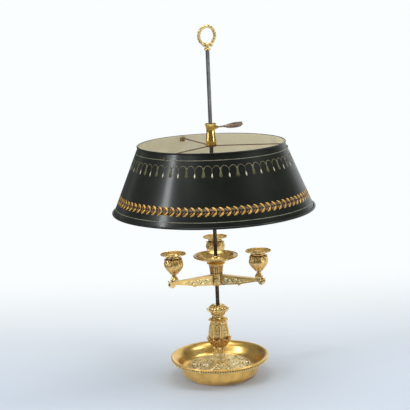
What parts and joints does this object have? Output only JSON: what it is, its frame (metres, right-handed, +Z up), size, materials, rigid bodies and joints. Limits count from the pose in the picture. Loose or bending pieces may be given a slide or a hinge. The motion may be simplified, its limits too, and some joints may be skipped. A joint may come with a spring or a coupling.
{
  "type": "bouillotte lamp",
  "caption": "Gilt bronze candle lamp: dish foot, square rod, sliding scrolled arms with candle sockets and drip rings, and a sliding green-black tole shade set by a key.",
  "frame": {"origin": "centre of the foot's resting face", "axes": "+Z up along the rod, +X to the viewer's right, -Y towards the viewer"},
  "size_m": [0.3878, 0.3876, 0.6799],
  "materials": {
    "gilt_bronze": "mercury-gilt bronze, chased and partly burnished",
    "steel": "old steel, grey above, brown and pitted below",
    "tole": "sheet iron, japanned green-black outside with gilt ornament, cream inside",
    "iron_wire": "iron wire inside a painted rolled edge",
    "old_brass": "brown patinated brass",
    "polished_brass": "polished brass"
  },
  "bodies": {
    "base": {"base_dish": "gilt_bronze", "floor_medallion": "gilt_bronze", "lower_stem": "gilt_bronze", "calyx": "gilt_bronze", "baluster": "gilt_bronze", "neck": "gilt_bronze", "petal_cup": "gilt_bronze", "gadroon_knob": "gilt_bronze", "rod": "steel", "rod_washer": "steel", "rod_nut": "steel", "finial_button": "gilt_bronze", "finial_wreath": "gilt_bronze"},
    "arm_cluster": {"arm_hub": "gilt_bronze", "arm_1": "gilt_bronze", "arm_2": "gilt_bronze", "arm_3": "gilt_bronze", "arm_pins": "steel", "hub_tube": "gilt_bronze", "hub_cup": "gilt_bronze", "hub_collar": "gilt_bronze", "centre_pan": "gilt_bronze", "flower_nut": "gilt_bronze", "socket_1": "gilt_bronze", "socket_2": "gilt_bronze", "socket_3": "gilt_bronze", "socket_studs": "steel", "hub_blade": "steel"},
    "thumb_screw": {"set_screw": "gilt_bronze"},
    "drip_ring_1": {"bobeche_1": "gilt_bronze"},
    "drip_ring_2": {"bobeche_2": "gilt_bronze"},
    "drip_ring_3": {"bobeche_3": "gilt_bronze"},
    "shade": {"shade_cone": "tole", "bottom_wire": "iron_wire", "top_wire": "iron_wire", "spider_hub": "old_brass", "spoke_1": "old_brass", "spoke_2": "old_brass", "spoke_3": "old_brass", "spoke_rivets": "old_brass", "carrier_sleeve": "polished_brass", "guide_bush": "polished_brass", "pressure_shoe": "steel", "key_boss": "polished_brass"},
    "key": {"key_screw": "old_brass", "key_leaf": "old_brass"}
  },
  "joints": [
    {"name": "arm_cluster_slide", "type": "slide", "parent": "base", "child": "arm_cluster", "axis": [0, 0, 1], "range_m": [-0.03, 0.06]},
    {"name": "set_screw_turn", "type": "hinge", "parent": "arm_cluster", "child": "thumb_screw", "pos_m": [0.01264, 0.0073, 0.1855], "axis": [0.866, 0.5, 0], "range_deg": [-170, 170]},
    {"name": "shade_slide", "type": "slide", "parent": "base", "child": "shade", "axis": [0, 0, 1], "range_m": [-0.08, 0.13]},
    {"name": "key_turn", "type": "hinge", "parent": "shade", "child": "key", "pos_m": [0.01342, 0.00775, 0.4873], "axis": [0.866, 0.5, 0], "range_deg": [-170, 170]},
    {"name": "drip_ring_1_lift", "type": "slide", "parent": "arm_cluster", "child": "drip_ring_1", "axis": [0, 0, 1], "range_m": [0, 0.03]},
    {"name": "drip_ring_2_lift", "type": "slide", "parent": "arm_cluster", "child": "drip_ring_2", "axis": [0, 0, 1], "range_m": [0, 0.03]},
    {"name": "drip_ring_3_lift", "type": "slide", "parent": "arm_cluster", "child": "drip_ring_3", "axis": [0, 0, 1], "range_m": [0, 0.03]}
  ]
}
